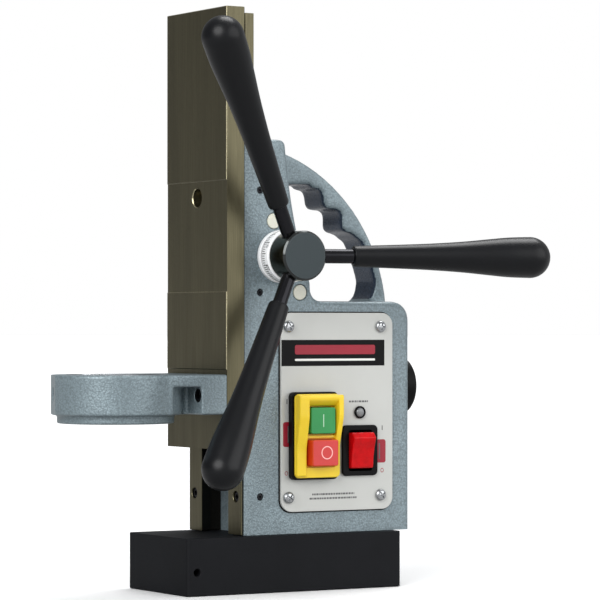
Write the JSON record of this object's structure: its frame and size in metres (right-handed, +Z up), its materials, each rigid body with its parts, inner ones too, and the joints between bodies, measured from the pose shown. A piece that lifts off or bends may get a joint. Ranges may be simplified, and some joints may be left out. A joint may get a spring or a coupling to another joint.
{
  "type": "magnetic drill stand",
  "caption": "Magnetic drill stand: magnet base, cast frame with carrying handle and switch panel, dovetail slide with drill collar, three-spoke rack feed.",
  "frame": {"origin": "centre of the magnet's working face, on the workpiece", "axes": "+Z up and away from the workpiece, -X towards the drill collar, -Y towards the control panel"},
  "size_m": [0.3104, 0.1509, 0.3745],
  "materials": {
    "magnet_black": "matte black enamel",
    "copper": "enamelled copper winding",
    "resin": "potting resin",
    "black_steel": "black oxide",
    "hammered_grey": "blue-grey hammered paint",
    "bronze_anodised": "bronze anodised, brushed along its length",
    "ivory": "ivory plastic",
    "panel_grey": "light grey printed panel",
    "zinc": "bright zinc",
    "black_plastic": "black moulded plastic",
    "yellow_plastic": "yellow moulded plastic",
    "green_plastic": "green moulded plastic",
    "red_plastic": "red moulded plastic",
    "red_lens": "translucent red plastic",
    "lamp_lens": "smoked lens",
    "board_green": "circuit board",
    "steel": "ground steel",
    "bush_bronze": "bearing bronze",
    "dial_silver": "satin silver, engraved black",
    "gunmetal": "gunmetal, turned",
    "blackened_rod": "blackened rod",
    "grip_plastic": "satin black moulded plastic"
  },
  "bodies": {
    "stand": {"base_bolt_1": "black_steel", "base_bolt_2": "black_steel", "base_bolt_3": "black_steel", "base_bolt_4": "black_steel", "cable_gland": "black_plastic", "control_board": "board_green", "frame_casting": "hammered_grey", "gib_screw_1": "black_steel", "gib_screw_2": "black_steel", "gib_screw_3": "black_steel", "gib_screw_4": "black_steel", "gland_nut": "black_plastic", "guide_rail_far": "bronze_anodised", "guide_rail_near": "bronze_anodised", "lamp_bezel": "black_plastic", "lamp_lens": "lamp_lens", "lid_pin": "zinc", "magnet_coil": "copper", "magnet_housing": "magnet_black", "magnet_potting": "resin", "outlet_body": "black_plastic", "outlet_contacts": "black_plastic", "panel_plate": "panel_grey", "panel_screw_1": "zinc", "panel_screw_2": "zinc", "panel_screw_3": "zinc", "panel_screw_4": "zinc", "pinion_bush_far": "bush_bronze", "pinion_bush_near": "dial_silver", "plug_lower": "ivory", "plug_upper": "ivory", "rail_screw_1": "black_steel", "rail_screw_2": "black_steel", "rail_screw_3": "black_steel", "rail_screw_4": "black_steel", "rocker_bezel": "black_plastic", "switch_base": "black_plastic", "switch_shroud": "yellow_plastic"},
    "slide": {"slide_plate": "bronze_anodised", "feed_rack": "steel", "rack_screw_1": "black_steel", "rack_screw_2": "black_steel", "drill_collar": "hammered_grey", "collar_screw_1": "black_steel", "collar_screw_2": "black_steel"},
    "feed": {"pinion_shaft": "steel", "shaft_clip": "black_steel", "feed_hub": "gunmetal", "spoke_rod_1": "blackened_rod", "spoke_rod_2": "blackened_rod", "spoke_rod_3": "blackened_rod", "feed_grip_1": "grip_plastic", "feed_grip_2": "grip_plastic", "feed_grip_3": "grip_plastic"},
    "dial": {"graduated_dial": "dial_silver"},
    "start": {"start_button": "green_plastic"},
    "stop": {"stop_button": "red_plastic"},
    "rocker": {"magnet_rocker": "red_lens"},
    "lid": {"outlet_lid": "black_plastic"}
  },
  "joints": [
    {"name": "feed_turn", "type": "hinge", "parent": "stand", "child": "feed", "pos_m": [-0.009, -0.05, 0.2155], "axis": [0, 1, 0], "range_deg": [-381.9, 840.2]},
    {"name": "slide_travel", "type": "slide", "parent": "stand", "child": "slide", "axis": [0, 0, 1], "range_m": [-0.05, 0.11]},
    {"name": "dial_set", "type": "hinge", "parent": "feed", "child": "dial", "pos_m": [-0.009, -0.0435, 0.2155], "axis": [0, 1, 0], "range_deg": [-180, 180]},
    {"name": "start_press", "type": "slide", "parent": "stand", "child": "start", "axis": [0, 1, 0], "range_m": [0, 0.003], "stiffness_N_per_m": 500, "springref_m": -0.001},
    {"name": "stop_press", "type": "slide", "parent": "stand", "child": "stop", "axis": [0, 1, 0], "range_m": [0, 0.003], "stiffness_N_per_m": 500, "springref_m": -0.001},
    {"name": "magnet_switch", "type": "hinge", "parent": "stand", "child": "rocker", "pos_m": [0.0492, -0.037, 0.0898], "axis": [1, 0, 0], "range_deg": [-20, 0]},
    {"name": "lid_hinge", "type": "hinge", "parent": "stand", "child": "lid", "pos_m": [0.0982, 0, 0.1554], "axis": [0, -1, 0], "range_deg": [0, 105], "stiffness_Nm_per_rad": 0.02, "springref_deg": -34.38}
  ],
  "couplings": [
    {"joint": "slide_travel", "follows": "feed_turn", "m_per_rad": 0.0075}
  ]
}
